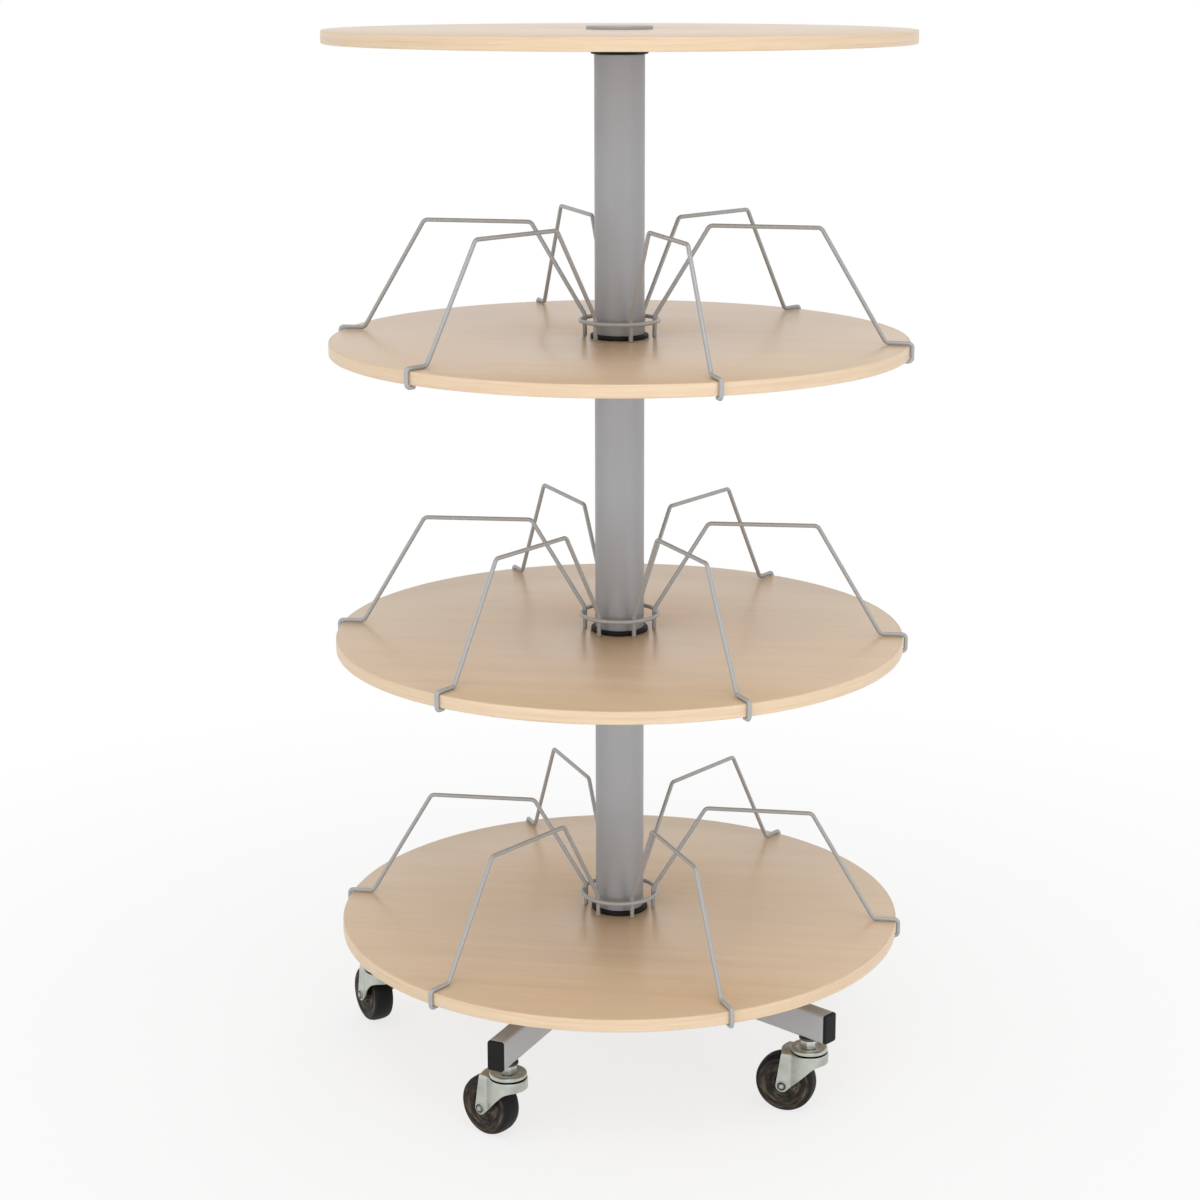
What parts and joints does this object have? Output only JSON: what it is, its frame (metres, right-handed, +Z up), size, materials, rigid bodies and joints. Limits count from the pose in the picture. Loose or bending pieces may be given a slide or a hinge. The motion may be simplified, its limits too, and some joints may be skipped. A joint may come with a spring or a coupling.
{
  "type": "rotary file stand",
  "caption": "Round open file stand: turning shelf tiers with welded wire dividers round a central column, under a round top, on a star base with swivel castors.",
  "frame": {"origin": "on the floor, on the axis of the column", "axes": "+Z up along the column; -Y towards the side seen in the picture; one arm of the base points close to -X"},
  "size_m": [0.6886, 0.6748, 1.233],
  "materials": {
    "wood_laminate": "matt light maple laminate",
    "wood_edging": "satin light edging strip",
    "silver_paint": "satin silver-grey powder coat",
    "wire_paint": "satin light grey powder coat",
    "black_plastic": "fine-grained black",
    "zinc": "bright zinc plate",
    "plain_steel": "drawn tube",
    "tyre_rubber": "matt, with turned sidewall rings"
  },
  "bodies": {
    "base": {"base_hub": "silver_paint", "mast": "plain_steel", "base_arm_1": "silver_paint", "arm_end_cap_1": "black_plastic", "castor_stem_1": "zinc", "castor_lock_nut_1": "zinc", "base_arm_2": "silver_paint", "arm_end_cap_2": "black_plastic", "castor_stem_2": "zinc", "castor_lock_nut_2": "zinc", "base_arm_3": "silver_paint", "arm_end_cap_3": "black_plastic", "castor_stem_3": "zinc", "castor_lock_nut_3": "zinc", "base_arm_4": "silver_paint", "arm_end_cap_4": "black_plastic", "castor_stem_4": "zinc", "castor_lock_nut_4": "zinc", "base_arm_5": "silver_paint", "arm_end_cap_5": "black_plastic", "castor_stem_5": "zinc", "castor_lock_nut_5": "zinc", "head_bush_base": "black_plastic", "foot_bush_lower": "black_plastic", "column_sleeve_lower": "silver_paint", "head_bush_lower": "black_plastic", "foot_bush_middle": "black_plastic", "column_sleeve_middle": "silver_paint", "head_bush_middle": "black_plastic", "foot_bush_upper": "black_plastic", "column_sleeve_upper": "silver_paint", "head_bush_upper": "black_plastic", "top_board": "wood_laminate", "top_edging": "wood_edging", "top_cover_cap": "silver_paint"},
    "lower_tier": {"shelf_board_lower": "wood_laminate", "shelf_edging_lower": "wood_edging", "wire_dividers_lower": "wire_paint"},
    "middle_tier": {"shelf_board_middle": "wood_laminate", "shelf_edging_middle": "wood_edging", "wire_dividers_middle": "wire_paint"},
    "upper_tier": {"shelf_board_upper": "wood_laminate", "shelf_edging_upper": "wood_edging", "wire_dividers_upper": "wire_paint"},
    "castor_1": {"castor_fork_1": "zinc", "castor_axle_1": "zinc"},
    "wheel_1": {"castor_wheel_1": "tyre_rubber"},
    "castor_2": {"castor_fork_2": "zinc", "castor_axle_2": "zinc"},
    "wheel_2": {"castor_wheel_2": "tyre_rubber"},
    "castor_3": {"castor_fork_3": "zinc", "castor_axle_3": "zinc"},
    "wheel_3": {"castor_wheel_3": "tyre_rubber"},
    "castor_4": {"castor_fork_4": "zinc", "castor_axle_4": "zinc"},
    "wheel_4": {"castor_wheel_4": "tyre_rubber"},
    "castor_5": {"castor_fork_5": "zinc", "castor_axle_5": "zinc"},
    "wheel_5": {"castor_wheel_5": "tyre_rubber"}
  },
  "joints": [
    {"name": "lower_tier_turn", "type": "hinge", "parent": "base", "child": "lower_tier", "pos_m": [0, 0, 0.1655], "axis": [0, 0, 1], "continuous": true},
    {"name": "middle_tier_turn", "type": "hinge", "parent": "base", "child": "middle_tier", "pos_m": [0, 0, 0.5175], "axis": [0, 0, 1], "continuous": true},
    {"name": "upper_tier_turn", "type": "hinge", "parent": "base", "child": "upper_tier", "pos_m": [0, 0, 0.8695], "axis": [0, 0, 1], "continuous": true},
    {"name": "castor_1_swivel", "type": "hinge", "parent": "base", "child": "castor_1", "pos_m": [-0.29887, -0.00887, 0.0765], "axis": [0, 0, 1], "continuous": true},
    {"name": "wheel_1_roll", "type": "hinge", "parent": "castor_1", "child": "wheel_1", "pos_m": [-0.3159, 0.01208, 0.035], "axis": [-0.776, -0.6307, 0], "continuous": true},
    {"name": "castor_2_swivel", "type": "hinge", "parent": "base", "child": "castor_2", "pos_m": [-0.08392, -0.28698, 0.0765], "axis": [0, 0, 1], "continuous": true},
    {"name": "wheel_2_roll", "type": "hinge", "parent": "castor_2", "child": "wheel_2", "pos_m": [-0.10711, -0.27316, 0.035], "axis": [-0.512, -0.859, 0], "continuous": true},
    {"name": "castor_3_swivel", "type": "hinge", "parent": "base", "child": "castor_3", "pos_m": [0.247, -0.16849, 0.0765], "axis": [0, 0, 1], "continuous": true},
    {"name": "wheel_3_roll", "type": "hinge", "parent": "castor_3", "child": "wheel_3", "pos_m": [0.22058, -0.16293, 0.035], "axis": [-0.2062, -0.9785, 0], "continuous": true},
    {"name": "castor_4_swivel", "type": "hinge", "parent": "base", "child": "castor_4", "pos_m": [0.23658, 0.18285, 0.0765], "axis": [0, 0, 1], "continuous": true},
    {"name": "wheel_4_roll", "type": "hinge", "parent": "castor_4", "child": "wheel_4", "pos_m": [0.21922, 0.16216, 0.035], "axis": [0.766, -0.6428, 0], "continuous": true},
    {"name": "castor_5_swivel", "type": "hinge", "parent": "base", "child": "castor_5", "pos_m": [-0.10079, 0.2815, 0.0765], "axis": [0, 0, 1], "continuous": true},
    {"name": "wheel_5_roll", "type": "hinge", "parent": "castor_5", "child": "wheel_5", "pos_m": [-0.07741, 0.268, 0.035], "axis": [0.5, 0.866, 0], "continuous": true}
  ]
}
